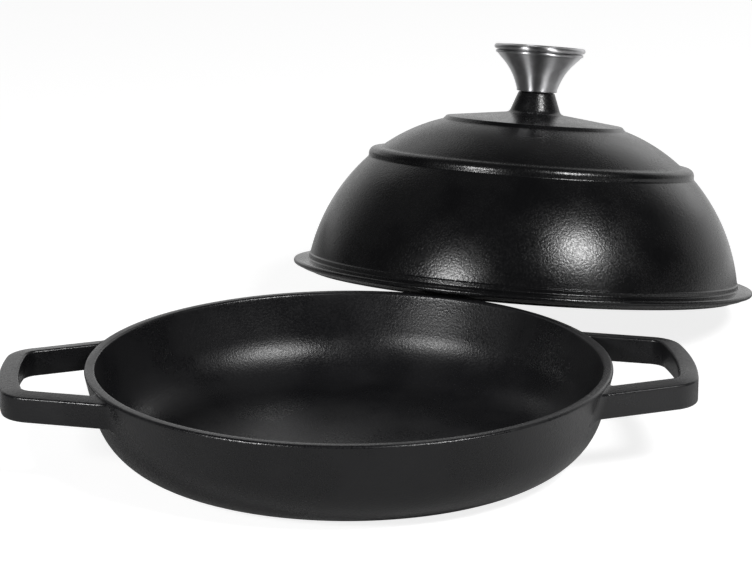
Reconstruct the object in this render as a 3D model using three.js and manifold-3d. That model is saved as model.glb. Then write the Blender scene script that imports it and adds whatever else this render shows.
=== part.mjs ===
// Cast iron bread pot: a shallow pan with two loop handles, and a dome lid with a flared steel knob.
// The lid is off: its flange rests on the pan's back rim and its far edge stands on the table.
// Millimetres, +Z up, origin at the centre of the pan's base.
import * as THREE from 'three';
import { mergeVertices } from 'three/addons/utils/BufferGeometryUtils.js';
import Module from 'manifold-3d';

// Pan: outside sizes, walls and rim
const panRimRadius = 135;
const panHeight = 49;
const panDraft = THREE.MathUtils.degToRad(13);
const panCornerRadius = 35;
const panFloor = 5;
const panRimWidth = 5.5;
const panInnerCornerRadius = 30;
const rimRound = 1.5;

// Loop handles: reach beyond the rim, taper in plan and bar section
const handleReach = 43;
const handleRootHalfWidth = 56;
const handleTaper = THREE.MathUtils.degToRad(18);
const handleCornerRadius = 18;
const handleArmWidth = 10;
const handleBarWidth = 10.5;
const handleGapCornerRadius = 8;
const handleThickness = 13;
const handleDrop = 2.5;
const handleRound = 1.4;

// Lid casting: heights are above the flange's underside
const lidWall = 4.5;
const lipClearance = 3.5;
const lipDepth = 1.6;
const flangeTaper = 1.5;
const flangeTaperRun = 4.6;
const flangeEdge = 2.9;
const flangeRise = 0.6;
const collarHeight = 3.4;
const collarStep = 0.7;
const collarFillet = 1;
const domeFootInset = 0.5;
const domeArcRadius = 108.9;
const bandRadius = 95.5;
const bandHeight = 66.9;
const bandStep = 0.3;
const bandSide = 1.6;
const bandRound = 4.3;
const bandLand = 2.8;
const crownArcRadius = 102.9;
const plateauRadius = 51.5;
const plateauHeight = 93.7;
const plateauStep = 2.2;
const plateauStepRun = 2.1;
const plateauEdgeRound = 0.6;
const plateauRise = 4.6;

// Knob boss on the lid, and the screw that comes up through it
const bossBaseRadius = 15.1;
const bossTopRadius = 10.5;
const bossHeight = 12.4;
const bossFillet = 2.2;
const bossEdge = 0.8;
const screwRadius = 3;
const screwHoleClearance = 0.5;
const screwReach = 11;
const screwHeadRadius = 6;
const screwHeadHeight = 3.8;
const screwHeadRound = 1.4;
const crossSlotLength = 6.4;
const crossSlotWidth = 1.5;
const crossSlotDepth = 2;
const washerRadius = 9;
const washerThickness = 1.6;
const lockWasherRadius = 5.6;
const lockWasherThickness = 1.5;
const lockWasherSlit = 1.2;

// Steel knob: flared shell, threaded bush and top cap
const knobNeckRadius = 11.9;
const knobMouthRadius = 25.8;
const knobShellHeight = 23.2;
const knobWall = 1.8;
const knobFloor = 2;
const knobFootRound = 1.4;
const knobWaistRadius = 16.5;
const knobWaistHeight = 16.4;
const knobFlareInset = 2.3;
const knobFlareDrop = 5.1;
const knobCapRadius = 26.8;
const knobCapRim = 3.1;
const knobCapDish = 0.6;
const bushHeight = 12;

// Clearances, and how the lid stands beside the pan
const seatGap = 0.3;
const threadClearance = 0.3;
const leanAzimuth = THREE.MathUtils.degToRad(63.8);
const leanHookGap = 1.2;

// Facet counts
const roundSegments = 60;
const knobSegments = 36;
const screwSegments = 20;
const arcSteps = 7;
const roundSteps = 2;

// Sizes that follow from the ones above
const panInnerRimRadius = panRimRadius - panRimWidth;
const lipRadius = panInnerRimRadius - lipClearance;
const flangeRadius = panRimRadius;
const screwHoleRadius = screwRadius + screwHoleClearance;
const plateauCrown = plateauHeight + plateauRise;
const bossTop = plateauCrown + bossHeight;

const castIron = new THREE.MeshStandardMaterial({ color: 0x1b1c1e, roughness: 0.55, metalness: 0.35 });
const stainless = new THREE.MeshStandardMaterial({ color: 0xb8bbbe, roughness: 0.22, metalness: 1 });
const zincSteel = new THREE.MeshStandardMaterial({ color: 0x9b9ea2, roughness: 0.38, metalness: 1 });

const wasm = await Module();
wasm.setup();

// Points on a circular arc in the profile plane, as [radius, height] pairs.
function arc(centre, radius, from, to, steps) {
  const points = [];
  for (let i = 0; i <= steps; i += 1) {
    const angle = from + ((to - from) * i) / steps;
    points.push([centre[0] + radius * Math.cos(angle), centre[1] + radius * Math.sin(angle)]);
  }
  return points;
}

// Centre of the circle of a given radius through two profile points, on the side of the axis.
function arcCentre(low, high, radius) {
  const middle = [(low[0] + high[0]) / 2, (low[1] + high[1]) / 2];
  const chord = [high[0] - low[0], high[1] - low[1]];
  const length = Math.hypot(chord[0], chord[1]);
  const rise = Math.sqrt(radius * radius - (length * length) / 4);
  return [middle[0] - (chord[1] / length) * rise, middle[1] + (chord[0] / length) * rise];
}

function angleFrom(centre, point) {
  return Math.atan2(point[1] - centre[1], point[0] - centre[0]);
}

// Welds a geometry's shared corners and drops the triangles that collapse on the axis.
function closed(geometry) {
  geometry.deleteAttribute('normal');
  geometry.deleteAttribute('uv');
  geometry.clearGroups();
  const welded = mergeVertices(geometry);
  const kept = [];
  for (let i = 0; i < welded.index.count; i += 3) {
    const [a, b, c] = [0, 1, 2].map((k) => welded.index.getX(i + k));
    if (a !== b && b !== c && c !== a) kept.push(a, b, c);
  }
  welded.setIndex(kept);
  welded.computeVertexNormals();
  return welded;
}

// Turned solid from a profile that runs up its outside, either from axis to axis or closed on itself.
function turned(profile, segments) {
  const points = profile.map(([radius, height]) => new THREE.Vector2(radius, height));
  return closed(new THREE.LatheGeometry(points, segments).rotateX(Math.PI / 2));
}

function ring(inner, outer, bottom, top) {
  return [[inner, bottom], [outer, bottom], [outer, top], [inner, top], [inner, bottom]];
}

function toSolid(geometry) {
  const vertProperties = Float32Array.from(geometry.attributes.position.array);
  const triVerts = Uint32Array.from(geometry.index.array);
  return new wasm.Manifold(new wasm.Mesh({ numProp: 3, vertProperties, triVerts }));
}

function toGeometry(solid) {
  const mesh = solid.getMesh();
  const geometry = new THREE.BufferGeometry();
  geometry.setAttribute('position', new THREE.Float32BufferAttribute(mesh.vertProperties, 3));
  geometry.setIndex(Array.from(mesh.triVerts));
  geometry.computeVertexNormals();
  return geometry;
}

function named(name, geometry, material) {
  const mesh = new THREE.Mesh(geometry, material);
  mesh.name = name;
  return mesh;
}

// Flat floor, corner arc and drafted wall of a bowl, from the axis up to a point on its wall.
function bowlProfile(wallPoint, floorHeight, cornerRadius) {
  const tangentHeight = floorHeight + cornerRadius * (1 - Math.sin(panDraft));
  const tangentRadius = wallPoint[0] - (wallPoint[1] - tangentHeight) * Math.tan(panDraft);
  const centre = [tangentRadius - cornerRadius * Math.cos(panDraft), floorHeight + cornerRadius];
  return [[0, floorHeight], ...arc(centre, cornerRadius, -Math.PI / 2, -panDraft, arcSteps)];
}

// Pan body without its hollow: the rim's outer edge is a small round that the wall runs into.
function panBlank() {
  const round = [panRimRadius - rimRound, panHeight - rimRound];
  const edge = arc(round, rimRound, -panDraft, Math.PI / 2, roundSteps);
  return turned([...bowlProfile(edge[0], 0, panCornerRadius), ...edge, [0, panHeight]], roundSegments);
}

function panHollow() {
  const round = [panInnerRimRadius + rimRound, panHeight - rimRound];
  const edge = arc(round, rimRound, Math.PI - panDraft, Math.PI / 2, roundSteps);
  const mouth = [round[0], panHeight + rimRound];
  const profile = bowlProfile(edge[0], panFloor, panInnerCornerRadius);
  return turned([...profile, ...edge, mouth, [0, mouth[1]]], roundSegments);
}

// Tapered loop in plan: straight arms that narrow outwards, a round end about the pan's axis, and
// a corner arc between them. The two insets move the arms and the end in towards the gap.
function handleLoop(armInset, endInset, cornerRadius) {
  const endRadius = panRimRadius + handleReach - endInset;
  const rootX = Math.sqrt(panRimRadius ** 2 - handleRootHalfWidth ** 2);
  const startX = panInnerRimRadius - panCornerRadius + armInset;
  const along = new THREE.Vector2(Math.cos(handleTaper), -Math.sin(handleTaper));
  const outward = new THREE.Vector2(Math.sin(handleTaper), Math.cos(handleTaper));
  const root = new THREE.Vector2(rootX, handleRootHalfWidth).addScaledVector(outward, -armInset);
  const start = root.clone().addScaledVector(along, (startX - root.x) / along.x);
  const guide = root.clone().addScaledVector(outward, -cornerRadius);
  const middle = guide.dot(along);
  const span = (endRadius - cornerRadius) ** 2 - guide.lengthSq();
  const corner = guide.clone().addScaledVector(along, -middle + Math.sqrt(middle * middle + span));
  const armAngle = Math.PI / 2 - handleTaper;
  const endAngle = corner.angle();
  const near = arc([corner.x, -corner.y], cornerRadius, -armAngle, -endAngle, arcSteps);
  const end = arc([0, 0], endRadius, -endAngle, endAngle, arcSteps).slice(1, -1);
  const far = arc([corner.x, corner.y], cornerRadius, endAngle, armAngle, arcSteps);
  const outline = [[start.x, -start.y], ...near, ...end, ...far, [start.x, start.y]];
  return new THREE.Shape(outline.map(([x, y]) => new THREE.Vector2(x, y)));
}

function handleSolid(turn) {
  const loop = handleLoop(0, 0, handleCornerRadius);
  loop.holes.push(handleLoop(handleArmWidth, handleBarWidth, handleGapCornerRadius));
  const options = { depth: handleThickness - 2 * handleRound, curveSegments: arcSteps };
  options.bevelThickness = handleRound;
  options.bevelSize = handleRound;
  options.bevelOffset = -handleRound;
  options.bevelSegments = roundSteps;
  const geometry = new THREE.ExtrudeGeometry(loop, options);
  const bottom = panHeight - handleDrop - handleThickness;
  geometry.translate(0, 0, bottom + handleRound).rotateZ(turn);
  return toSolid(closed(geometry));
}

function basePan() {
  const blank = toSolid(panBlank()).add(handleSolid(0)).add(handleSolid(Math.PI));
  return named('base_pan', toGeometry(blank.subtract(toSolid(panHollow()))), castIron);
}

// Dome arcs of the lid: the main dome up to the band, and the crown from the band to the plateau.
const flangeTop = flangeTaper + flangeEdge + flangeRise;
const domeFoot = [lipRadius - domeFootInset, flangeTop + collarHeight];
const collarRadius = domeFoot[0] + collarStep;
const domeTop = [bandRadius - bandStep, bandHeight];
const domeCentre = arcCentre(domeFoot, domeTop, domeArcRadius);
const bandTop = bandHeight + bandSide + bandRound;
const crownFoot = [bandRadius - bandRound - bandLand, bandTop];
const crownTop = [plateauRadius + plateauStepRun, plateauHeight - plateauStep];
const crownCentre = arcCentre(crownFoot, crownTop, crownArcRadius);
const ceiling = crownCentre[1] + crownArcRadius - lidWall;

function lidOutside() {
  const edgeRound = flangeEdge / 2;
  const edgeCentre = [flangeRadius - edgeRound, flangeTaper + edgeRound];
  const edge = arc(edgeCentre, edgeRound, -Math.PI / 2, Math.PI / 2, 2 * roundSteps);
  const foot = [collarRadius + collarFillet, flangeTop + collarFillet];
  const fillet = arc(foot, collarFillet, -Math.PI / 2, -Math.PI, roundSteps);
  const collar = [collarRadius, domeFoot[1] - collarStep];
  const domeLow = angleFrom(domeCentre, domeFoot);
  const dome = arc(domeCentre, domeArcRadius, domeLow, angleFrom(domeCentre, domeTop), arcSteps);
  const bandCentre = [bandRadius - bandRound, bandTop - bandRound];
  const band = arc(bandCentre, bandRound, 0, Math.PI / 2, roundSteps);
  const crownLow = angleFrom(crownCentre, crownFoot);
  const crown = arc(crownCentre, crownArcRadius, crownLow, angleFrom(crownCentre, crownTop), arcSteps);
  const plateau = [
    [plateauRadius + (plateauEdgeRound * plateauStepRun) / plateauStep, plateauHeight - plateauEdgeRound],
    [plateauRadius - plateauEdgeRound, plateauHeight],
  ];
  const plateauSlope = plateauRise / (plateauRadius - bossBaseRadius);
  const boss = [
    [bossBaseRadius + bossFillet, plateauCrown - bossFillet * plateauSlope],
    [bossBaseRadius, plateauCrown + bossFillet],
    [bossTopRadius, bossTop - bossEdge],
    [bossTopRadius - bossEdge, bossTop],
  ];
  const under = [[lipRadius, -lipDepth], [lipRadius, 0], [flangeRadius - flangeTaperRun, 0]];
  return [...under, ...edge, ...fillet, collar, ...dome, ...band, ...crown, ...plateau, ...boss];
}

function lidInside() {
  const domeRadius = domeArcRadius - lidWall;
  const crownRadius = crownArcRadius - lidWall;
  const lipAngle = Math.asin((-lipDepth - domeCentre[1]) / domeRadius);
  const crownLow = angleFrom(crownCentre, crownFoot);
  const crown = arc(crownCentre, crownRadius, Math.PI / 2, crownLow, arcSteps);
  const dome = arc(domeCentre, domeRadius, angleFrom(domeCentre, domeTop), lipAngle, arcSteps);
  return [[screwHoleRadius, bossTop], [screwHoleRadius, ceiling], ...crown, ...dome];
}

function domeLid() {
  const profile = [...lidOutside(), ...lidInside()];
  return named('dome_lid', turned([...profile, profile[0]], roundSegments), castIron);
}

const knobFoot = bossTop + seatGap;
const shellTop = knobFoot + knobShellHeight;
const shellFloor = knobFoot + knobFloor;

// The knob's flared side as a curve that leaves the neck nearly upright and opens towards the mouth.
function knobFlare() {
  const neck = new THREE.Vector2(knobNeckRadius, knobFoot + knobFootRound);
  const waist = new THREE.Vector2(knobWaistRadius, knobFoot + knobWaistHeight);
  const flare = new THREE.Vector2(knobMouthRadius - knobFlareInset, shellTop - knobFlareDrop);
  const mouth = new THREE.Vector2(knobMouthRadius, shellTop);
  return new THREE.CubicBezierCurve(neck, waist, flare, mouth);
}

function knobShell() {
  const flare = knobFlare();
  const outside = [[screwHoleRadius, knobFoot], [knobNeckRadius - knobFootRound, knobFoot]];
  const inside = [];
  for (let i = 0; i <= arcSteps; i += 1) {
    const point = flare.getPoint(i / arcSteps);
    const tangent = flare.getTangent(i / arcSteps);
    const wall = Math.min(knobWall / tangent.y, knobWall * 2);
    outside.push([point.x, point.y]);
    if (point.y > shellFloor) inside.unshift([point.x - wall, point.y]);
  }
  inside.push([knobNeckRadius - knobWall, shellFloor], [screwHoleRadius, shellFloor]);
  const profile = [...outside, ...inside];
  return named('knob_shell', turned([...profile, profile[0]], knobSegments), stainless);
}

function knobCap() {
  const bottom = shellTop + seatGap;
  const round = knobCapRim / 2;
  const rim = arc([knobCapRadius - round, bottom + round], round, -Math.PI / 2, Math.PI / 2, 2 * roundSteps);
  const dish = bottom + knobCapRim - knobCapDish;
  const inner = knobCapRadius - knobCapRim;
  return named('knob_cap', turned([[0, bottom], ...rim, [inner, dish], [0, dish]], knobSegments), stainless);
}

function knobInsert() {
  const outer = knobNeckRadius - knobWall - seatGap;
  const bottom = shellFloor + seatGap;
  const profile = ring(screwRadius + threadClearance, outer, bottom, bottom + bushHeight);
  return named('knob_insert', turned(profile, screwSegments), zincSteel);
}

// Screw stack under the lid's ceiling, from the top down
const flatWasherTop = ceiling - seatGap;
const lockWasherTop = flatWasherTop - washerThickness - seatGap;
const screwHeadTop = lockWasherTop - lockWasherThickness - seatGap;

function flatWasher() {
  const profile = ring(screwHoleRadius, washerRadius, flatWasherTop - washerThickness, flatWasherTop);
  return named('flat_washer', turned(profile, screwSegments), zincSteel);
}

function lockWasher() {
  const outer = Math.asin(lockWasherSlit / 2 / lockWasherRadius);
  const inner = Math.asin(lockWasherSlit / 2 / screwHoleRadius);
  const split = new THREE.Shape();
  split.absarc(0, 0, lockWasherRadius, outer, 2 * Math.PI - outer, false);
  split.absarc(0, 0, screwHoleRadius, 2 * Math.PI - inner, inner, true);
  split.closePath();
  const options = { depth: lockWasherThickness, bevelEnabled: false, curveSegments: screwSegments };
  const geometry = new THREE.ExtrudeGeometry(split, options);
  geometry.translate(0, 0, lockWasherTop - lockWasherThickness);
  return named('lock_washer', closed(geometry), zincSteel);
}

function knobScrew() {
  const headBottom = screwHeadTop - screwHeadHeight;
  const round = [screwHeadRadius - screwHeadRound, headBottom + screwHeadRound];
  const head = arc(round, screwHeadRound, -Math.PI / 2, 0, roundSteps);
  const tip = shellFloor + screwReach;
  const shank = [[screwHeadRadius, screwHeadTop], [screwRadius, screwHeadTop], [screwRadius, tip], [0, tip]];
  let solid = toSolid(turned([[0, headBottom], ...head, ...shank], screwSegments));
  for (const turn of [0, Math.PI / 2]) {
    const slot = new THREE.BoxGeometry(crossSlotLength, crossSlotWidth, 2 * crossSlotDepth);
    slot.rotateZ(turn).translate(0, 0, headBottom);
    solid = solid.subtract(toSolid(closed(slot)));
  }
  return named('knob_screw', toGeometry(solid), zincSteel);
}

// Height of the lid's origin when its far edge stands on the table, on the lip or on the flange.
function standHeight(tilt) {
  const lip = lipRadius * Math.sin(tilt) + lipDepth * Math.cos(tilt);
  const flange = (flangeRadius - flangeTaperRun) * Math.sin(tilt);
  return Math.max(lip, flange);
}

// Tilt at which the lid's far edge stands on the table while the flange's underside clears the round
// of the pan's rim by the seat gap, with the lip just outside the rim.
function leanTilt() {
  const clear = (tilt) => {
    const sine = Math.sin(tilt);
    const cosine = Math.cos(tilt);
    const along = rimRound + leanHookGap + lipRadius * cosine;
    const below = panHeight - rimRound - standHeight(tilt);
    return along * sine - below * cosine - rimRound - seatGap;
  };
  let [low, high] = [0, Math.PI / 4];
  for (let i = 0; i < 60; i += 1) {
    const middle = (low + high) / 2;
    if (clear(middle) < 0) low = middle;
    else high = middle;
  }
  return high;
}

const tilt = leanTilt();
const lid = new THREE.Group();
lid.position.x = panRimRadius + leanHookGap + lipRadius * Math.cos(tilt);
lid.position.z = standHeight(tilt);
lid.rotation.y = tilt;
lid.add(domeLid(), knobShell(), knobCap(), knobInsert(), knobScrew(), flatWasher(), lockWasher());

const leanLine = new THREE.Group();
leanLine.rotation.z = leanAzimuth;
leanLine.add(lid);

const pot = new THREE.Group();
pot.add(basePan(), leanLine);

export default pot;
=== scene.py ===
import math

import bmesh
import bpy
from mathutils import Matrix, Vector


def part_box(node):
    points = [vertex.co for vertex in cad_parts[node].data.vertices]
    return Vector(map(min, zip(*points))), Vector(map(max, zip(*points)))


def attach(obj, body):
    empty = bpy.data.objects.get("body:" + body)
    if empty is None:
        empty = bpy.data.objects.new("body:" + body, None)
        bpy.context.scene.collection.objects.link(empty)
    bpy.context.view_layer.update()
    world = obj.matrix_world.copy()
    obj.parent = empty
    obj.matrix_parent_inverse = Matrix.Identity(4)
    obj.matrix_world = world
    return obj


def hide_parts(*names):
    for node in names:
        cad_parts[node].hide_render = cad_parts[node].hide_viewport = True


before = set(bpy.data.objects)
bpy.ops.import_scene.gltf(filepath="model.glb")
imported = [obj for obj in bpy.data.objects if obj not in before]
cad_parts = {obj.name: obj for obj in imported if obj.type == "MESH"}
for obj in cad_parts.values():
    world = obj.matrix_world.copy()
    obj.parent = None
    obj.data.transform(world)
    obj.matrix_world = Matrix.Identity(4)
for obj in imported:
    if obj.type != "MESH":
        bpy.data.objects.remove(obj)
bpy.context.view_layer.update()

# Pan, in metres
PAN_RIM_RADIUS = 0.135
PAN_HEIGHT = 0.049
PAN_DRAFT = math.radians(13)
PAN_CORNER_RADIUS = 0.035
PAN_FLOOR = 0.005
PAN_RIM_WIDTH = 0.0055
PAN_INNER_CORNER_RADIUS = 0.030
PAN_RIM_ROUND = 0.0015

# Loop handles
HANDLE_REACH = 0.0428
HANDLE_ROOT_HALF_WIDTH = 0.056
HANDLE_TAPER = math.radians(18)
HANDLE_CORNER_RADIUS = 0.018
HANDLE_ARM_WIDTH = 0.010
HANDLE_BAR_WIDTH = 0.0105
HANDLE_THICKNESS = 0.013
HANDLE_DROP = 0.0025
HANDLE_ROUND = 0.0012
HANDLE_INNER_RISE = 0.0014
HANDLE_INNER_DRAFT = 0.002
HANDLE_FILLET = 0.0042
HANDLE_TOP_FILLET = 0.0009
HANDLE_SINK = 0.0008

# Lid casting; heights are above the underside of its flange
LID_WALL = 0.0045
LIP_RADIUS = 0.126
LIP_DEPTH = 0.0016
LIP_ROUND = 0.0004
FLANGE_TAPER = 0.0015
FLANGE_TAPER_RUN = 0.0046
FLANGE_EDGE = 0.0029
FLANGE_RISE = 0.0006
FLANGE_ROUND = 0.002
COLLAR_HEIGHT = 0.0034
COLLAR_STEP = 0.0007
COLLAR_ROUND = 0.0004
COLLAR_FILLET = 0.001
DOME_FOOT_INSET = 0.0005
DOME_ARC_RADIUS = 0.1089
BAND_RADIUS = 0.0955
BAND_HEIGHT = 0.0669
BAND_STEP = 0.0003
BAND_SIDE = 0.0016
BAND_ROUND = 0.0043
BAND_LAND = 0.0028
BAND_FILLET = 0.0014
CROWN_ARC_RADIUS = 0.1029
CROWN_FILLET = 0.0016
PLATEAU_RADIUS = 0.0515
PLATEAU_HEIGHT = 0.0937
PLATEAU_STEP = 0.0022
PLATEAU_STEP_RUN = 0.0021
PLATEAU_ROUND = 0.0009
PLATEAU_RISE = 0.0046
BOSS_BASE_RADIUS = 0.0151
BOSS_TOP_RADIUS = 0.0105
BOSS_HEIGHT = 0.0124
BOSS_FILLET = 0.0034
BOSS_ROUND = 0.0012
SCREW_HOLE_RADIUS = 0.0035
WASHER_THICKNESS = 0.0016

# Knob
KNOB_NECK_RADIUS = 0.0119
KNOB_MOUTH_RADIUS = 0.0258
KNOB_SHELL_HEIGHT = 0.0232
KNOB_WALL = 0.0018
KNOB_FLOOR = 0.002
KNOB_FOOT_ROUND = 0.0014
KNOB_WAIST_RADIUS = 0.0165
KNOB_WAIST_HEIGHT = 0.0164
KNOB_FLARE_INSET = 0.0023
KNOB_FLARE_DROP = 0.0051
KNOB_BEAD = 0.0009
KNOB_GROOVE = 0.0005
KNOB_CAP_RADIUS = 0.0268
KNOB_CAP_RIM = 0.0031
KNOB_CAP_DISH = 0.0006
SEAT_GAP = 0.0003

# Fineness: the round pieces lie just within the flat facets of the solids that they dress
CASTING_SEGMENTS = 240
KNOB_SEGMENTS = 120
CASTING_FACETS = 0.998
KNOB_FACETS = 0.994
ARC_STEPS = 24
ROUND_STEPS = 6
GUARD = 0.0012
GUARD_MIN_RUN = 4 * GUARD
ROUND_SHARE = 0.48
MERGE_DISTANCE = 1e-7
SHARP_ANGLE = math.radians(40)

# Camera: its place round the pan's rim, and where the rim's centre falls in the 752 by 565 picture
CAMERA_DISTANCE = 1.5655
CAMERA_AZIMUTH = math.radians(-3.1)
CAMERA_ELEVATION = math.radians(17.14)
PICTURE_SIZE = (752, 565)
RIM_CENTRE_PIXEL = (348.85, 361.77)
FOCAL_PIXELS = 3065.5
SENSOR_WIDTH = 36.0


def arc(centre, radius, start, end, steps):
    """Points on an arc in the profile plane, as (radius, height) pairs."""
    angles = [start + (end - start) * i / steps for i in range(steps + 1)]
    return [(centre[0] + radius * math.cos(a), centre[1] + radius * math.sin(a)) for a in angles]


def arc_centre(low, high, radius):
    """Centre of the circle through two profile points, on the side of the axis."""
    low, high = Vector(low), Vector(high)
    chord = high - low
    rise = math.sqrt(radius * radius - chord.length_squared / 4)
    across = Vector((-chord.y, chord.x)).normalized()
    return tuple((low + high) / 2 + across * rise)


def angle_from(centre, point):
    return math.atan2(point[1] - centre[1], point[0] - centre[0])


def rounded(corners):
    """A path through (radius, height, round) corners, with an arc at each corner that has a round."""
    path = []
    for i, (r, z, size) in enumerate(corners):
        here = Vector((r, z))
        if not size:
            path.append(here)
            continue
        back = Vector(corners[i - 1][:2]) - here
        ahead = Vector(corners[i + 1][:2]) - here
        half = back.angle(ahead) / 2
        reach = min(size / math.tan(half), ROUND_SHARE * back.length, ROUND_SHARE * ahead.length)
        size = reach * math.tan(half)
        middle = here + (back.normalized() + ahead.normalized()).normalized() * (size / math.sin(half))
        start = here + back.normalized() * reach - middle
        end = here + ahead.normalized() * reach - middle
        turn = start.angle_signed(end)
        for step in range(ROUND_STEPS + 1):
            spoke = Matrix.Rotation(-turn * step / ROUND_STEPS, 2) @ start
            path.append(middle + spoke)
    return [tuple(point) for point in path]


def plain(points):
    """Profile points as corners with no round."""
    return [(r, z, 0) for r, z in points]


def guarded(path):
    """Adds points near both ends of each long straight run, so that its shading stays flat."""
    kept = [path[0]]
    for here, there in zip(path, path[1:]):
        run = Vector(there) - Vector(here)
        if run.length > GUARD_MIN_RUN:
            step = run.normalized() * GUARD
            kept.append(tuple(Vector(here) + step))
            kept.append(tuple(Vector(there) - step))
        kept.append(there)
    return kept


def skin(bm, rows, around, along):
    """Quads between rows of points; around closes each row, along joins the last row to the first."""
    grid = [[bm.verts.new(point) for point in row] for row in rows]
    columns = len(grid[0])
    for i in range(len(grid) if along else len(grid) - 1):
        here, there = grid[i], grid[(i + 1) % len(grid)]
        for j in range(columns if around else columns - 1):
            k = (j + 1) % columns
            bm.faces.new((here[j], there[j], there[k], here[k]))
    return grid


def turn(bm, path, segments, facets):
    """A turned body from a profile that runs from axis to axis, or ends where it starts."""
    path = guarded(path)
    rows = []
    for i in range(segments):
        a = 2 * math.pi * i / segments
        rows.append([Vector((r * facets * math.cos(a), r * facets * math.sin(a), z)) for r, z in path])
    skin(bm, rows, False, True)
    bmesh.ops.remove_doubles(bm, verts=bm.verts, dist=MERGE_DISTANCE)


def piece(name, bm, place, material, body, slot, *nodes):
    """Makes a mesh object from bm, at place, that rides a body and replaces CAD nodes."""
    bm.transform(place)
    bmesh.ops.recalc_face_normals(bm, faces=bm.faces)
    mesh = bpy.data.meshes.new(name)
    bm.to_mesh(mesh)
    bm.free()
    mesh.polygons.foreach_set("use_smooth", [True] * len(mesh.polygons))
    mesh.set_sharp_from_angle(angle=SHARP_ANGLE)
    mesh.materials.append(material)
    made = bpy.data.objects.new(name, mesh)
    bpy.context.scene.collection.objects.link(made)
    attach(made, body)
    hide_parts(*nodes)


# Pan

RIM_CENTRE = (PAN_RIM_RADIUS - PAN_RIM_ROUND, PAN_HEIGHT - PAN_RIM_ROUND)


def bowl(wall_point, floor, corner_radius):
    """Flat floor and corner arc of a bowl, from the axis up to its drafted wall."""
    tangent_height = floor + corner_radius * (1 - math.sin(PAN_DRAFT))
    tangent_radius = wall_point[0] - (wall_point[1] - tangent_height) * math.tan(PAN_DRAFT)
    centre = (tangent_radius - corner_radius * math.cos(PAN_DRAFT), floor + corner_radius)
    return [(0, floor), *arc(centre, corner_radius, -math.pi / 2, -PAN_DRAFT, ARC_STEPS)]


def pan_profile():
    inner_radius = PAN_RIM_RADIUS - PAN_RIM_WIDTH
    inner_centre = (inner_radius + PAN_RIM_ROUND, RIM_CENTRE[1])
    outer_edge = arc(RIM_CENTRE, PAN_RIM_ROUND, -PAN_DRAFT, math.pi / 2, ROUND_STEPS)
    inner_edge = arc(inner_centre, PAN_RIM_ROUND, math.pi / 2, math.pi - PAN_DRAFT, ROUND_STEPS)
    outside = bowl(outer_edge[0], 0, PAN_CORNER_RADIUS)
    inside = bowl(inner_edge[-1], PAN_FLOOR, PAN_INNER_CORNER_RADIUS)
    return [*outside, *outer_edge, *inner_edge, *reversed(inside)]


def wall_radius(height):
    """Outside radius of the pan's drafted wall."""
    edge = arc(RIM_CENTRE, PAN_RIM_ROUND, -PAN_DRAFT, 0, 1)[0]
    return (edge[0] - (edge[1] - height) * math.tan(PAN_DRAFT)) * CASTING_FACETS


def bar_section():
    """Rounded outline of the handle's bar about its middle: (across, up) points with their normals."""
    half_width = HANDLE_ARM_WIDTH / 2
    half_height = HANDLE_THICKNESS / 2
    corners = [
        Vector((half_width, half_height)),
        Vector((-half_width, half_height + HANDLE_INNER_RISE)),
        Vector((HANDLE_INNER_DRAFT - half_width, -half_height)),
        Vector((half_width, -half_height)),
    ]
    section = []
    for i, corner in enumerate(corners):
        back = (corners[i - 1] - corner).normalized()
        ahead = (corners[(i + 1) % 4] - corner).normalized()
        half = back.angle(ahead) / 2
        middle = corner + (back + ahead).normalized() * (HANDLE_ROUND / math.sin(half))
        first = Vector((-back.y, back.x))
        for step in range(ROUND_STEPS + 1):
            normal = Matrix.Rotation((math.pi - 2 * half) * step / ROUND_STEPS, 2) @ first
            section.append((middle + normal * HANDLE_ROUND, normal))
    return section


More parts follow.
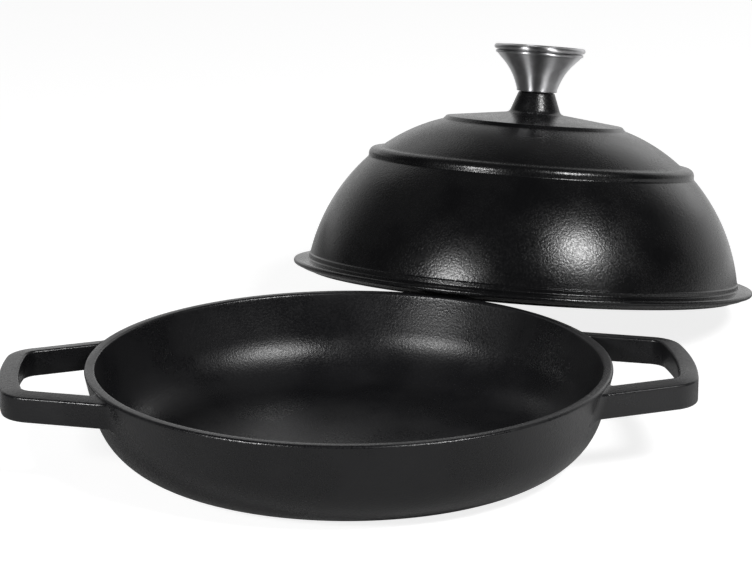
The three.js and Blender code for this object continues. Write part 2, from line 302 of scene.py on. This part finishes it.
def handle_rows():
    """Rings of points along the right-hand handle, from the wall round the loop to the wall again."""
    end_radius = PAN_RIM_RADIUS + HANDLE_REACH
    along = Vector((math.cos(HANDLE_TAPER), -math.sin(HANDLE_TAPER)))
    outward = Vector((math.sin(HANDLE_TAPER), math.cos(HANDLE_TAPER)))
    root_reach = math.sqrt(PAN_RIM_RADIUS ** 2 - HANDLE_ROOT_HALF_WIDTH ** 2)
    root = Vector((root_reach, HANDLE_ROOT_HALF_WIDTH))
    guide = root - outward * HANDLE_CORNER_RADIUS
    lead = guide.dot(along)
    span = (end_radius - HANDLE_CORNER_RADIUS) ** 2 - guide.length_squared
    corner = guide + along * (math.sqrt(lead * lead + span) - lead)
    arm_angle = math.pi / 2 - HANDLE_TAPER
    end_angle = math.atan2(corner.y, corner.x)
    middle_height = PAN_HEIGHT - HANDLE_DROP - HANDLE_THICKNESS / 2
    section = bar_section()
    arm_middle = root - outward * (HANDLE_ARM_WIDTH / 2)

    def ring(middle, across, widen):
        return [
            Vector((*(middle + across * (offset.x * widen)), middle_height + offset.y))
            for offset, _ in section
        ]

    def wall_ring(grow, distance):
        points = []
        for offset, normal in section:
            ease = 1 if normal.y <= 0 else 1 - normal.y * (1 - HANDLE_TOP_FILLET / HANDLE_FILLET)
            wide = offset + normal * (grow * ease)
            start = arm_middle + outward * wide.x
            height = middle_height + wide.y
            lean = start.dot(along)
            reach = math.sqrt(lean ** 2 - start.length_squared + wall_radius(height) ** 2) - lean
            points.append(Vector((*(start + along * (reach + distance)), height)))
        return points

    rows = [wall_ring(HANDLE_FILLET, -HANDLE_SINK)]
    for step in range(ROUND_STEPS + 1):
        a = math.pi / 2 * step / ROUND_STEPS
        rows.append(wall_ring(HANDLE_FILLET * (1 - math.sin(a)), HANDLE_FILLET * (1 - math.cos(a))))
    bar_widen = HANDLE_BAR_WIDTH / HANDLE_ARM_WIDTH
    for step in range(2 * ROUND_STEPS + 1):
        a = arm_angle + (end_angle - arm_angle) * step / (2 * ROUND_STEPS)
        spoke = Vector((math.cos(a), math.sin(a)))
        widen = 1 + (bar_widen - 1) * step / (2 * ROUND_STEPS)
        middle = corner + spoke * (HANDLE_CORNER_RADIUS - HANDLE_ARM_WIDTH / 2 * widen)
        rows.append(ring(middle, spoke, widen))
    bar_radius = end_radius - HANDLE_BAR_WIDTH / 2
    for step in range(1, ROUND_STEPS):
        a = end_angle * (1 - step / ROUND_STEPS)
        spoke = Vector((math.cos(a), math.sin(a)))
        rows.append(ring(spoke * bar_radius, spoke, bar_widen))
    spoke = Vector((1, 0))
    middle_row = ring(spoke * bar_radius, spoke, bar_widen)
    mirrored = [[Vector((p.x, -p.y, p.z)) for p in row] for row in reversed(rows)]
    return [*rows, middle_row, *mirrored]


def pan_mesh():
    bm = bmesh.new()
    turn(bm, pan_profile(), CASTING_SEGMENTS, CASTING_FACETS)
    for half_turn in (Matrix(), Matrix.Rotation(math.pi, 4, "Z")):
        rows = [[half_turn @ p for p in row] for row in handle_rows()]
        grid = skin(bm, rows, True, False)
        bm.faces.new(grid[0])
        bm.faces.new(grid[-1])
    return bm


# Lid

FLANGE_TOP = FLANGE_TAPER + FLANGE_EDGE + FLANGE_RISE
DOME_FOOT = (LIP_RADIUS - DOME_FOOT_INSET, FLANGE_TOP + COLLAR_HEIGHT)
COLLAR_RADIUS = DOME_FOOT[0] + COLLAR_STEP
DOME_TOP = (BAND_RADIUS - BAND_STEP, BAND_HEIGHT)
DOME_CENTRE = arc_centre(DOME_FOOT, DOME_TOP, DOME_ARC_RADIUS)
BAND_CENTRE = (BAND_RADIUS - BAND_ROUND, BAND_HEIGHT + BAND_SIDE)
BAND_TOP = BAND_CENTRE[1] + BAND_ROUND
CROWN_FOOT = (BAND_CENTRE[0] - BAND_LAND, BAND_TOP)
CROWN_TOP = (PLATEAU_RADIUS + PLATEAU_STEP_RUN, PLATEAU_HEIGHT - PLATEAU_STEP)
CROWN_CENTRE = arc_centre(CROWN_FOOT, CROWN_TOP, CROWN_ARC_RADIUS)
CEILING = CROWN_CENTRE[1] + CROWN_ARC_RADIUS - LID_WALL
PLATEAU_CROWN = PLATEAU_HEIGHT + PLATEAU_RISE
BOSS_TOP = PLATEAU_CROWN + BOSS_HEIGHT


def lid_profile():
    crown_low = angle_from(CROWN_CENTRE, CROWN_FOOT)
    crown_high = angle_from(CROWN_CENTRE, CROWN_TOP)
    crown = arc(CROWN_CENTRE, CROWN_ARC_RADIUS, crown_high, crown_low, ARC_STEPS)
    band = arc(BAND_CENTRE, BAND_ROUND, math.pi / 2, 0, 2 * ROUND_STEPS)
    under_band = math.acos((BAND_RADIUS - DOME_CENTRE[0]) / DOME_ARC_RADIUS)
    dome_low = angle_from(DOME_CENTRE, DOME_FOOT)
    dome_high = angle_from(DOME_CENTRE, DOME_TOP)
    dome = arc(DOME_CENTRE, DOME_ARC_RADIUS, under_band, dome_low, 2 * ARC_STEPS)
    edge_centre = (PAN_RIM_RADIUS - FLANGE_EDGE / 2, FLANGE_TAPER + FLANGE_EDGE / 2)
    edge = arc(edge_centre, FLANGE_EDGE / 2, math.pi / 2, -math.pi / 2, 2 * ROUND_STEPS)
    inner_dome = DOME_ARC_RADIUS - LID_WALL
    lip_angle = math.asin((-LIP_DEPTH - DOME_CENTRE[1]) / inner_dome)
    inside = arc(DOME_CENTRE, inner_dome, lip_angle, dome_high, 2 * ARC_STEPS)
    vault = arc(CROWN_CENTRE, CROWN_ARC_RADIUS - LID_WALL, crown_low, math.pi / 2, ARC_STEPS)
    return rounded([
        (SCREW_HOLE_RADIUS, CEILING, 0),
        (SCREW_HOLE_RADIUS, BOSS_TOP, 0),
        (BOSS_TOP_RADIUS, BOSS_TOP, BOSS_ROUND),
        (BOSS_BASE_RADIUS, PLATEAU_CROWN, BOSS_FILLET),
        (PLATEAU_RADIUS, PLATEAU_HEIGHT, PLATEAU_ROUND),
        (*crown[0], PLATEAU_ROUND),
        *plain(crown[1:-1]),
        (*crown[-1], CROWN_FILLET),
        *plain(band),
        (*dome[0], BAND_FILLET),
        *plain(dome[1:-1]),
        (*dome[-1], COLLAR_ROUND),
        (COLLAR_RADIUS, DOME_FOOT[1] - COLLAR_STEP, COLLAR_ROUND),
        (COLLAR_RADIUS, FLANGE_TOP, COLLAR_FILLET),
        *plain(edge),
        (PAN_RIM_RADIUS - FLANGE_TAPER_RUN, 0, FLANGE_ROUND),
        (LIP_RADIUS, 0, LIP_ROUND),
        (LIP_RADIUS, -LIP_DEPTH, LIP_ROUND),
        (*inside[0], LIP_ROUND),
        *plain(inside[1:]),
        *plain(vault),
        (SCREW_HOLE_RADIUS, CEILING, 0),
    ])


def lid_mesh():
    bm = bmesh.new()
    turn(bm, lid_profile(), CASTING_SEGMENTS, CASTING_FACETS)
    return bm


def lid_place():
    """The lid's own frame in the scene, from the washer and the bush, whose middles lie on its axis."""
    boxes = (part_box(node) for node in ("flat_washer", "knob_insert"))
    washer, bush = (sum(map(Vector, box), Vector()) / 2 for box in boxes)
    axis = (bush - washer).normalized()
    washer_height = CEILING - SEAT_GAP - WASHER_THICKNESS / 2
    origin = washer - axis * washer_height
    tilt = Vector((0, 0, 1)).rotation_difference(axis)
    return Matrix.Translation(origin) @ tilt.to_matrix().to_4x4()


# Knob

BEAD_START = -math.pi / 3
KNOB_FOOT = BOSS_TOP + SEAT_GAP
SHELL_TOP = KNOB_FOOT + KNOB_SHELL_HEIGHT
SHELL_FLOOR = KNOB_FOOT + KNOB_FLOOR


def flare(t):
    """Point on the knob's flared side, from its neck at t = 0 to its mouth at t = 1."""
    neck = Vector((KNOB_NECK_RADIUS, KNOB_FOOT + KNOB_FOOT_ROUND))
    waist = Vector((KNOB_WAIST_RADIUS, KNOB_FOOT + KNOB_WAIST_HEIGHT))
    spread = Vector((KNOB_MOUTH_RADIUS - KNOB_FLARE_INSET, SHELL_TOP - KNOB_FLARE_DROP))
    mouth = Vector((KNOB_MOUTH_RADIUS, SHELL_TOP))
    s = 1 - t
    return neck * s ** 3 + waist * (3 * s * s * t) + spread * (3 * s * t * t) + mouth * t ** 3


def knob_shell_mesh():
    bead_centre = (KNOB_MOUTH_RADIUS - KNOB_BEAD, SHELL_TOP - KNOB_BEAD)
    bead = arc(bead_centre, KNOB_BEAD, BEAD_START, math.pi / 2, 2 * ROUND_STEPS)
    side = [flare(i / ARC_STEPS) for i in range(ARC_STEPS + 1)]
    outside = [tuple(p) for p in side if p.y < bead[0][1] - KNOB_GROOVE]
    inside = [(p.x - 2 * KNOB_WALL, p.y) for p in reversed(side) if p.y > SHELL_FLOOR + KNOB_WALL]
    path = rounded([
        (SCREW_HOLE_RADIUS, KNOB_FOOT, 0),
        (KNOB_NECK_RADIUS, KNOB_FOOT, KNOB_FOOT_ROUND),
        *plain(outside),
        *plain(bead),
        *plain(inside),
        (KNOB_NECK_RADIUS - KNOB_WALL, SHELL_FLOOR, 0),
        (SCREW_HOLE_RADIUS, SHELL_FLOOR, 0),
        (SCREW_HOLE_RADIUS, KNOB_FOOT, 0),
    ])
    bm = bmesh.new()
    turn(bm, path, KNOB_SEGMENTS, KNOB_FACETS)
    return bm


def knob_cap_mesh():
    bottom = SHELL_TOP + SEAT_GAP
    bead = KNOB_CAP_RIM / 2
    rim_centre = (KNOB_CAP_RADIUS - bead, bottom + bead)
    rim = arc(rim_centre, bead, BEAD_START, math.pi / 2, 2 * ROUND_STEPS)
    dish = bottom + KNOB_CAP_RIM - KNOB_CAP_DISH
    path = rounded([
        (0, bottom, 0),
        (KNOB_MOUTH_RADIUS - KNOB_GROOVE, bottom, KNOB_GROOVE),
        *plain(rim),
        (KNOB_CAP_RADIUS - KNOB_CAP_RIM, dish, KNOB_CAP_DISH),
        (0, dish, 0),
    ])
    bm = bmesh.new()
    turn(bm, path, KNOB_SEGMENTS, KNOB_FACETS)
    return bm


# Materials

# Edges are painted lighter, a painted highlight, and made smoother, as wear
EDGE_WEAR_AND_HIGHLIGHT = 0.06
EDGE_START = 0.51
EDGE_END = 0.58
PATCH_START = 0.35
PATCH_END = 0.65
IRON_PATCH_SCALE = 26
IRON_PATCH_DETAIL = 4
GRAIN_SCALE = 900
GRAIN_DETAIL = 2
GRAIN_START = 0.3
GRAIN_END = 0.7
GRAIN_SHEEN = 0.05
GRAIN_HEIGHT = 0.0005
GRAIN_STRENGTH = 0.25
STEEL_PATCH_SCALE = 180
STEEL_PATCH_DETAIL = 3
TURNING_SCALE = 9000
TURNING_DETAIL = 1
TURNING_HEIGHT = 0.0001
STEEL_ANISOTROPY = 0.95
STEEL_ANISOTROPY_TURN = 0.25

# Sockets of a Mix node that share a name: first input, second input, result
MIX_NUMBER = (2, 3, 0)
MIX_COLOUR = (6, 7, 2)


def new_material(name):
    made = bpy.data.materials.new(name)
    made.use_nodes = True
    tree = made.node_tree
    return made, tree, tree.nodes["Principled BSDF"]


def noise(tree, source, scale, detail, dimensions="3D"):
    made = tree.nodes.new("ShaderNodeTexNoise")
    made.noise_dimensions = dimensions
    made.inputs["Scale"].default_value = scale
    made.inputs["Detail"].default_value = detail
    tree.links.new(source, made.inputs["W" if dimensions == "1D" else "Vector"])
    return made.outputs["Fac"]


def ramp(tree, source, start, end, low, high):
    """Maps the range from start to end smoothly to the one from low to high."""
    made = tree.nodes.new("ShaderNodeMapRange")
    made.interpolation_type = "SMOOTHSTEP"
    made.inputs["From Min"].default_value = start
    made.inputs["From Max"].default_value = end
    made.inputs["To Min"].default_value = low
    made.inputs["To Max"].default_value = high
    tree.links.new(source, made.inputs["Value"])
    return made.outputs["Result"]


def mixed(tree, source, first, second):
    made = tree.nodes.new("ShaderNodeMix")
    made.data_type = "RGBA"
    low, high, result = MIX_COLOUR
    made.inputs[low].default_value = (*first, 1)
    made.inputs[high].default_value = (*second, 1)
    tree.links.new(source, made.inputs["Factor"])
    return made.outputs[result]


def math_node(tree, operation, first, second):
    """A Math node whose inputs are sockets or plain numbers."""
    made = tree.nodes.new("ShaderNodeMath")
    made.operation = operation
    for slot, value in zip(made.inputs, (first, second)):
        if isinstance(value, (int, float)):
            slot.default_value = value
        else:
            tree.links.new(value, slot)
    return made.outputs["Value"]


def bumped(tree, height, distance, strength):
    made = tree.nodes.new("ShaderNodeBump")
    made.inputs["Distance"].default_value = distance
    made.inputs["Strength"].default_value = strength
    tree.links.new(height, made.inputs["Height"])
    return made.outputs["Normal"]


def cast_iron(name, dark, light, smooth, rough):
    """Black seasoned iron: fine cast grain, patches in colour and sheen, edges rubbed smoother and
    painted lighter as a highlight.
    """
    made, tree, shader = new_material(name)
    place = tree.nodes.new("ShaderNodeTexCoord").outputs["Object"]
    patches = noise(tree, place, IRON_PATCH_SCALE, IRON_PATCH_DETAIL)
    grain = noise(tree, place, GRAIN_SCALE, GRAIN_DETAIL)
    edges = tree.nodes.new("ShaderNodeNewGeometry").outputs["Pointiness"]
    # Pointiness lightens the colour at edges as a painted highlight, and lowers their roughness as wear
    worn_and_highlit = ramp(tree, edges, EDGE_START, EDGE_END, 0, EDGE_WEAR_AND_HIGHLIGHT)
    speckle = ramp(tree, grain, GRAIN_START, GRAIN_END, -GRAIN_SHEEN, GRAIN_SHEEN)
    tone = math_node(tree, "ADD", ramp(tree, patches, PATCH_START, PATCH_END, 0, 1), worn_and_highlit)
    patchy = ramp(tree, patches, PATCH_START, PATCH_END, smooth, rough)
    sheen = math_node(tree, "SUBTRACT", patchy, worn_and_highlit)
    tree.links.new(mixed(tree, tone, dark, light), shader.inputs["Base Color"])
    tree.links.new(math_node(tree, "ADD", sheen, speckle), shader.inputs["Roughness"])
    tree.links.new(bumped(tree, grain, GRAIN_HEIGHT, GRAIN_STRENGTH), shader.inputs["Normal"])
    return made


def turned_steel(name, axis, dark, light, smooth, rough, lines):
    """Steel with fine lines round its axis, from its turning, and slight patches in its polish."""
    made, tree, shader = new_material(name)
    place = tree.nodes.new("ShaderNodeTexCoord").outputs["Object"]
    height = tree.nodes.new("ShaderNodeVectorMath")
    height.operation = "DOT_PRODUCT"
    height.inputs[1].default_value = axis
    tree.links.new(place, height.inputs[0])
    rings = noise(tree, height.outputs["Value"], TURNING_SCALE, TURNING_DETAIL, "1D")
    patches = noise(tree, place, STEEL_PATCH_SCALE, STEEL_PATCH_DETAIL)
    tone = ramp(tree, patches, PATCH_START, PATCH_END, 0, 1)
    sheen = ramp(tree, rings, PATCH_START, PATCH_END, smooth, rough)
    tree.links.new(mixed(tree, tone, dark, light), shader.inputs["Base Color"])
    tree.links.new(sheen, shader.inputs["Roughness"])
    tree.links.new(bumped(tree, rings, TURNING_HEIGHT, lines), shader.inputs["Normal"])
    tangent = tree.nodes.new("ShaderNodeTangent")
    tangent.direction_type = "RADIAL"
    tree.links.new(tangent.outputs["Tangent"], shader.inputs["Tangent"])
    shader.inputs["Metallic"].default_value = 1
    shader.inputs["Anisotropic"].default_value = STEEL_ANISOTROPY
    shader.inputs["Anisotropic Rotation"].default_value = STEEL_ANISOTROPY_TURN
    return made


lid_frame = lid_place()
lid_axis = lid_frame.col[2].xyz
pan_iron = cast_iron(
    "pan_iron", dark=(0.007, 0.007, 0.008), light=(0.011, 0.011, 0.012), smooth=0.28, rough=0.37
)
lid_iron = cast_iron(
    "lid_iron", dark=(0.004, 0.004, 0.0045), light=(0.007, 0.007, 0.0075), smooth=0.2, rough=0.28
)
knob_steel = turned_steel(
    "knob_steel", lid_axis, dark=(0.52, 0.52, 0.53), light=(0.62, 0.62, 0.63),
    smooth=0.36, rough=0.44, lines=0.03
)
screw_steel = turned_steel(
    "screw_steel", lid_axis, dark=(0.45, 0.45, 0.46), light=(0.56, 0.56, 0.56),
    smooth=0.28, rough=0.42, lines=0.1
)

# Pieces

piece("pan_casting", pan_mesh(), Matrix(), pan_iron, "pan", "pan_iron", "base_pan")
piece("lid_casting", lid_mesh(), lid_frame, lid_iron, "lid", "lid_iron", "dome_lid")
piece("knob_flare", knob_shell_mesh(), lid_frame, knob_steel, "lid", "knob_steel", "knob_shell")
piece("knob_top", knob_cap_mesh(), lid_frame, knob_steel, "lid", "knob_steel", "knob_cap")
for node in ("knob_insert", "knob_screw", "flat_washer", "lock_washer"):
    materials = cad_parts[node].data.materials
    materials.clear()
    materials.append(screw_steel)

# Floor, lamps and world

FLOOR_HALF_SIZE = 6.0
FLOOR_DROP = 0.0002
FLOOR_COLOUR = (0.45, 0.45, 0.45)
FLOOR_ROUGHNESS = 0.9
FLOOR_GLOW = 0.84
# Painted light on the floor, seen only in reflections: paler to the right and behind
MIRRORED_GLOW = 0.58
MIRRORED_DIM = MIRRORED_GLOW / 20
MIRRORED_TURN = 0.4
MIRRORED_START = 0.0
MIRRORED_END = 0.3
# Painted shadow of the pan and lid on the floor, seen only in reflections
SHADE_CENTRE = (0.2, 0.2, 0)
SHADE_START = 0.12
SHADE_END = 0.26
SHADE_DEPTH = 0.05
BACK_LIGHT = 0.62
BACK_LIGHT_TOP = BACK_LIGHT / 5
BACKDROP_TURN = 0.25
BACKDROP_START = 0.25
BACKDROP_END = 1.0
BACKDROP_FOOT = 0.0
BACKDROP_HEIGHT = 0.7
FRONT_LIGHT = 0.02
WHITE = (1, 1, 1, 1)
LAMP_TARGET = Vector((0.1, 0.1, 0.06))


def mirror_ray(tree, rays):
    return math_node(tree, "ADD", rays.outputs["Is Glossy Ray"], rays.outputs["Is Transmission Ray"])


def floor_material():
    """White to the camera; in the object's reflections a painted light, pale to the right and behind,
    else dim, with a painted shadow of the pan and lid near them.
    """
    made, tree, shader = new_material("floor")
    shader.inputs["Base Color"].default_value = (*FLOOR_COLOUR, 1)
    shader.inputs["Roughness"].default_value = FLOOR_ROUGHNESS
    shader.inputs["Specular IOR Level"].default_value = 0
    shader.inputs["Emission Color"].default_value = WHITE
    place = tree.nodes.new("ShaderNodeTexCoord").outputs["Object"]
    axes = tree.nodes.new("ShaderNodeSeparateXYZ")
    tree.links.new(place, axes.inputs["Vector"])
    # Painted light: the reflected floor is paler to the right and behind
    behind = math_node(tree, "MULTIPLY", axes.outputs["Y"], MIRRORED_TURN)
    side = math_node(tree, "ADD", axes.outputs["X"], behind)
    pale = ramp(tree, side, MIRRORED_START, MIRRORED_END, MIRRORED_DIM, MIRRORED_GLOW)
    # Painted shadow: the reflected floor is dimmed near the pan and lid
    distance = tree.nodes.new("ShaderNodeVectorMath")
    distance.operation = "DISTANCE"
    distance.inputs[1].default_value = SHADE_CENTRE
    tree.links.new(place, distance.inputs[0])
    clear = ramp(tree, distance.outputs["Value"], SHADE_START, SHADE_END, SHADE_DEPTH, 1)
    shaded = math_node(tree, "MULTIPLY", pale, clear)
    rays = tree.nodes.new("ShaderNodeLightPath")
    mirrored = math_node(tree, "MULTIPLY", mirror_ray(tree, rays), shaded)
    seen = math_node(tree, "MULTIPLY", rays.outputs["Is Camera Ray"], FLOOR_GLOW)
    tree.links.new(math_node(tree, "ADD", seen, mirrored), shader.inputs["Emission Strength"])
    return made


def make_floor():
    half = FLOOR_HALF_SIZE
    square = ((-half, -half), (half, -half), (half, half), (-half, half))
    mesh = bpy.data.meshes.new("floor")
    mesh.from_pydata([(x, y, -FLOOR_DROP) for x, y in square], [], [(0, 1, 2, 3)])
    mesh.materials.append(floor_material())
    made = bpy.data.objects.new("floor", mesh)
    bpy.context.scene.collection.objects.link(made)


def make_world():
    """A white background; what the object reflects of the room is pale behind it and dim before it."""
    world = bpy.data.worlds.new("studio")
    world.use_nodes = True
    tree = world.node_tree
    background = tree.nodes["Background"]
    direction = tree.nodes.new("ShaderNodeTexCoord").outputs["Generated"]
    axes = tree.nodes.new("ShaderNodeSeparateXYZ")
    tree.links.new(direction, axes.inputs["Vector"])
    across = math_node(tree, "MULTIPLY", axes.outputs["X"], BACKDROP_TURN)
    behind = math_node(tree, "ADD", axes.outputs["Y"], across)
    depth = ramp(tree, behind, BACKDROP_START, BACKDROP_END, 0, 1)
    height = ramp(tree, axes.outputs["Z"], BACKDROP_FOOT, BACKDROP_HEIGHT, BACK_LIGHT, BACK_LIGHT_TOP)
    backdrop = math_node(tree, "MULTIPLY", depth, height)
    rays = tree.nodes.new("ShaderNodeLightPath")
    mirrored = math_node(tree, "MULTIPLY", mirror_ray(tree, rays), backdrop)
    seen = math_node(tree, "ADD", rays.outputs["Is Camera Ray"], mirrored)
    room = math_node(tree, "ADD", backdrop, FRONT_LIGHT)
    shown = tree.nodes.new("ShaderNodeMix")
    low, high, result = MIX_NUMBER
    tree.links.new(seen, shown.inputs["Factor"])
    tree.links.new(room, shown.inputs[low])
    shown.inputs[high].default_value = 1
    tree.links.new(shown.outputs[result], background.inputs["Strength"])
    background.inputs["Color"].default_value = WHITE
    bpy.context.scene.world = world


def lamp(name, azimuth, elevation, distance, width, height, watts):
    """An area lamp that faces the object; azimuth 0 is the viewer's side and 90 is the right."""
    a, e = math.radians(azimuth), math.radians(elevation)
    data = bpy.data.lights.new(name, "AREA")
    data.shape = "ELLIPSE"
    data.size = width
    data.size_y = height
    data.energy = watts
    away = Vector((math.sin(a) * math.cos(e), -math.cos(a) * math.cos(e), math.sin(e)))
    made = bpy.data.objects.new(name, data)
    made.location = LAMP_TARGET + away * distance
    made.rotation_euler = away.to_track_quat("Z", "Y").to_euler()
    bpy.context.scene.collection.objects.link(made)


def make_camera():
    """Aims a level camera so that the centre of the pan's rim falls on its pixel."""
    across = (RIM_CENTRE_PIXEL[0] - PICTURE_SIZE[0] / 2) / FOCAL_PIXELS
    down = (RIM_CENTRE_PIXEL[1] - PICTURE_SIZE[1] / 2) / FOCAL_PIXELS
    sight = math.sqrt((1 + across ** 2 + down ** 2) / (1 + down ** 2))
    pitch = math.asin(math.sin(CAMERA_ELEVATION) * sight) - math.atan(down)
    yaw = CAMERA_AZIMUTH + math.atan2(across, math.cos(pitch) - down * math.sin(pitch))
    data = bpy.data.cameras.new("camera")
    data.sensor_width = SENSOR_WIDTH
    data.lens = FOCAL_PIXELS / PICTURE_SIZE[0] * SENSOR_WIDTH
    level = CAMERA_DISTANCE * math.cos(CAMERA_ELEVATION)
    made = bpy.data.objects.new("camera", data)
    made.location = (
        level * math.sin(CAMERA_AZIMUTH),
        -level * math.cos(CAMERA_AZIMUTH),
        PAN_HEIGHT + CAMERA_DISTANCE * math.sin(CAMERA_ELEVATION),
    )
    made.rotation_euler = (math.pi / 2 - pitch, 0, yaw)
    bpy.context.scene.collection.objects.link(made)
    bpy.context.scene.camera = made


make_floor()
make_world()
lamp("key", azimuth=36, elevation=43, distance=1.6, width=0.4, height=0.4, watts=16.5)
lamp("left_box", azimuth=-48, elevation=22, distance=1.8, width=0.34, height=0.4, watts=15)
lamp("right_edge", azimuth=142, elevation=24, distance=1.5, width=0.9, height=0.9, watts=1.0)
lamp("left_edge", azimuth=-156, elevation=34, distance=1.7, width=0.8, height=0.8, watts=0.6)
make_camera()
bpy.context.scene.view_settings.view_transform = "Standard"
